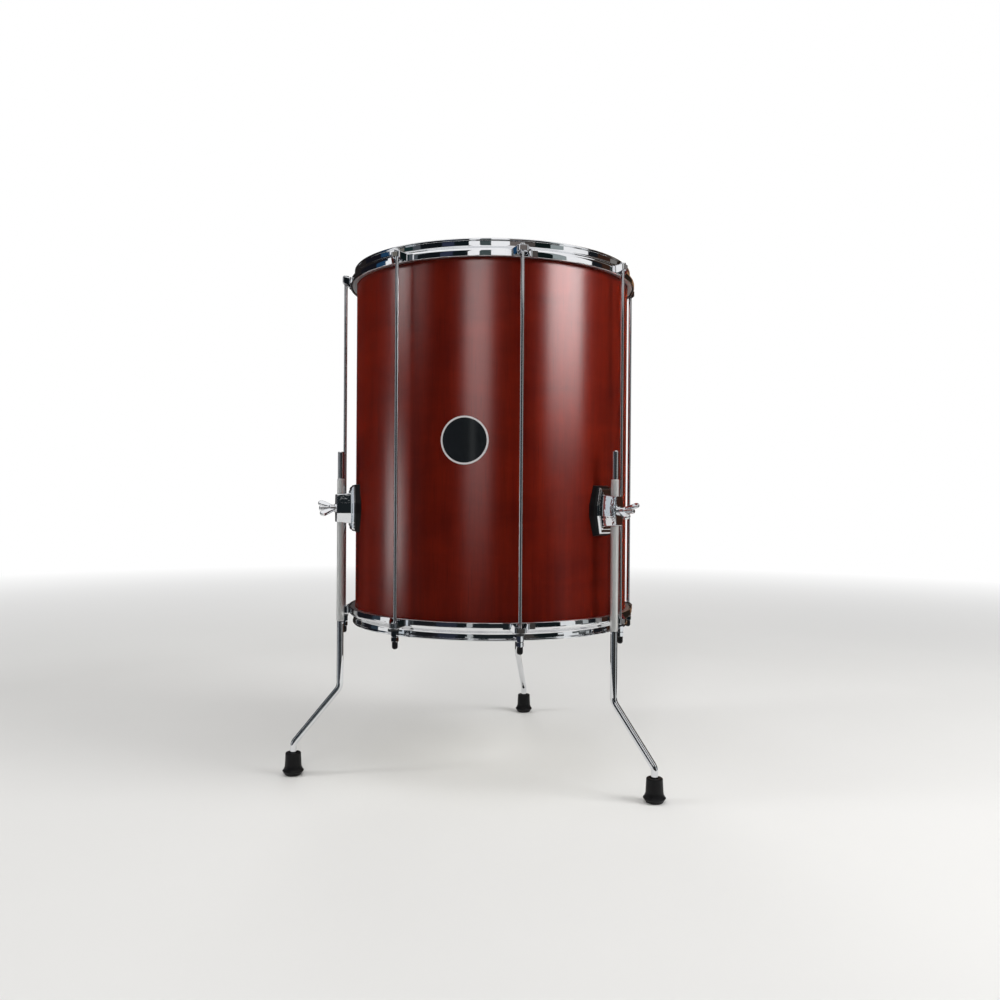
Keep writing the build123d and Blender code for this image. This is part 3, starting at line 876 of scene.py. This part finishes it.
def makeSurroundings():
    # a dark room with bright gaps, a kerb and a dark far floor, which reflections alone show
    finish = Finish("darkSurroundings")
    x, y, height = finish.split(finish.place())
    turn = finish.math("ARCTAN2", x, y * -1)
    low, high = [tonesAround(finish, turn, tones) for tones in (lowTones, ringTones)]
    reach = stageShape["toneReach"]
    change = finish.rise(height / reach, *[edge / reach for edge in stageShape["toneChange"]])
    tone = finish.mix(change, low, high)
    finish.show(finish.add("ShaderNodeEmission", inputs={"Color": tone, "Strength": 1.0}))
    finish.material.cycles.emission_sampling = "NONE"
    bm = bmesh.new()
    wall = [*stageShape["farFloor"], (stageShape["ringRadius"], stageShape["ringHeight"])]
    for points in (stageShape["kerb"], wall):
        verts = [bm.verts.new((distance, 0, height)) for distance, height in points]
        for pair in zip(verts, verts[1:]):
            bm.edges.new(pair)
    bmesh.ops.spin(bm, geom=bm.verts[:] + bm.edges[:], cent=(0, 0, 0), axis=(0, 0, 1), dvec=(0, 0, 0),
                   angle=2 * pi, steps=stageShape["steps"], use_merge=True, use_duplicate=False)
    return onlyInReflections(stageObject("surroundings", bm, finish.material))


# soft boxes as the lacquer sees them: the angles between which each stands, how strong it is,
# and its share of that strength at some heights
glowPanels = {
    "right_glow": {"from": 57, "to": 88, "strength": 63,
                   "heights": ((0.70, 0.0), (1.03, 0.36), (1.26, 0.7), (1.5, 1.0))},
    "front_glow": {"from": -8, "to": 11, "strength": 24,
                   "heights": ((0.1, 0.05), (0.4, 0.22), (0.75, 0.5), (1.03, 0.75), (1.3, 1.0))},
    "left_glow": {"from": -71, "to": -58, "strength": 26, "heights": ((1.0, 0.0), (1.26, 0.26), (1.5, 1.0))},
    "left_low_glow": {"from": -79, "to": -61, "strength": 22,
                      "heights": ((0.0, 1.0), (0.45, 0.9), (0.7, 0.25), (0.95, 0.0))},
    "left_dim_glow": {"from": -56, "to": -40, "strength": 6, "heights": ((1.15, 0.0), (1.5, 1.0))},
}
lacquered = bpy.data.collections.new("lacquered")
lacquered.objects.link(bpy.data.objects["wooden_shell"])


def makeGlow(name, panel, distance):
    # a clear sheet that lights nothing, and glows only in the gloss of what is lacquered
    finish = Finish(name)
    top = stageShape["glowTop"]
    height = finish.split(finish.place())[2]
    shade = finish.ramp(height / top, *[(level / top, share) for level, share in panel["heights"]])
    shade = shade * (finish.lightPath("Diffuse Depth") < 0.5)
    glow = finish.add("ShaderNodeEmission", inputs={"Color": shade, "Strength": panel["strength"]})
    clear = finish.add("ShaderNodeBsdfTransparent")
    finish.show(finish.add("ShaderNodeAddShader", inputs={0: glow, 1: clear}))
    finish.material.cycles.emission_sampling = "NONE"
    bm = bmesh.new()
    ends = [bm.verts.new((distance, 0, level)) for level in (panel["heights"][0][0], top)]
    edge = bm.edges.new(ends)
    bmesh.ops.transform(bm, matrix=turnTo(panel["from"]), verts=bm.verts[:])
    width = radians(panel["to"] - panel["from"])
    bmesh.ops.spin(bm, geom=[*ends, edge], cent=(0, 0, 0), axis=(0, 0, 1), dvec=(0, 0, 0), angle=width,
                   steps=stageShape["glowSteps"], use_duplicate=False)
    thing = onlyInReflections(stageObject(name, bm, finish.material))
    thing.light_linking.receiver_collection = lacquered


makeFloor()
makeSurroundings()
glowRadius = stageShape["ringRadius"] - stageShape["glowGap"]
for order, (name, panel) in enumerate(glowPanels.items()):
    makeGlow(name, panel, glowRadius - stageShape["glowSpacing"] * order)

softBoxes = {
    "right_soft_box": {"angle": 81, "distance": 2.4, "height": 1.62, "width": 1.25, "tall": 1.25, "power": 48},
    "front_soft_box": {"angle": 2, "distance": 2.6, "height": 1.66, "width": 0.32, "tall": 1.25, "power": 13},
    "left_soft_box": {"angle": -68, "distance": 2.6, "height": 1.66, "width": 0.5, "tall": 1.25, "power": 20},
    "back_soft_box": {"angle": 200, "distance": 2.6, "height": 2.0, "width": 0.9, "tall": 1.2, "power": 16},
    "overhead_soft_box": {"angle": 20, "distance": 0.6, "height": 2.9, "width": 1.6, "tall": 1.6, "power": 20},
}


def addLamp(name, box):
    # a soft box that faces the drum's middle
    lamp = bpy.data.lights.new(name, "AREA")
    lamp.shape = "RECTANGLE"
    lamp.size = box["width"]
    lamp.size_y = box["tall"]
    lamp.energy = box["power"]
    thing = bpy.data.objects.new(name, lamp)
    turn = radians(box["angle"])
    place = Vector((sin(turn) * box["distance"], -cos(turn) * box["distance"], box["height"]))
    thing.location = place
    thing.rotation_euler = (Vector((0, 0, shellMiddle)) - place).to_track_quat("-Z", "Y").to_euler()
    thing.visible_camera = False
    thing.visible_glossy = False
    bpy.context.scene.collection.objects.link(thing)


for name, box in softBoxes.items():
    addLamp(name, box)


def makeAir():
    # even light on surfaces, and plain white behind the drum and in its metal
    finish = Finish("studioAir", bpy.data.worlds, "Background", "World Output")
    bpy.context.scene.world = finish.material
    finish.feed(finish.shader.inputs["Color"], (1, 1, 1, 1))
    finish.feed(finish.shader.inputs["Strength"], stageShape["airStrength"])
    white = finish.add("ShaderNodeBackground", inputs={"Color": (1, 1, 1, 1), "Strength": 1.0})
    finish.show(white, finish.seenDirectly())


makeAir()
bpy.context.scene.view_settings.view_transform = "Standard"
print("stage: set")


# Camera

cameraPlace = {
    "azimuth": 12.45,
    "distance": 1.517,    # from the drum's axis
    "height": 0.4487,
    "yaw": 0.58,          # how far it looks aside of the axis
    "pitch": -0.32,
    "roll": 0.39,
    "lens": 31.93,        # millimetres
    "sensor": 36,
}


def addCamera():
    turn = radians(cameraPlace["azimuth"])
    yaw = radians(cameraPlace["yaw"])
    pitch = radians(cameraPlace["pitch"])
    roll = radians(cameraPlace["roll"])
    toAxis = Vector((-sin(turn), cos(turn), 0))
    aside = Vector((cos(turn), sin(turn), 0))
    level = cos(yaw) * toAxis + sin(yaw) * aside
    ahead = cos(pitch) * level + sin(pitch) * Vector((0, 0, 1))
    right = (cos(yaw) * aside - sin(yaw) * toAxis).normalized()
    up = right.cross(ahead)
    tiltedRight = cos(roll) * right + sin(roll) * up
    tiltedUp = cos(roll) * up - sin(roll) * right
    data = bpy.data.cameras.new("camera")
    data.lens = cameraPlace["lens"]
    data.sensor_width = cameraPlace["sensor"]
    camera = bpy.data.objects.new("camera", data)
    axes = Matrix((tiltedRight, tiltedUp, -ahead)).transposed()
    place = -toAxis * cameraPlace["distance"] + Vector((0, 0, cameraPlace["height"]))
    camera.matrix_world = Matrix.Translation(place) @ axes.to_4x4()
    bpy.context.scene.collection.objects.link(camera)
    bpy.context.scene.camera = camera


addCamera()
print("camera: placed")
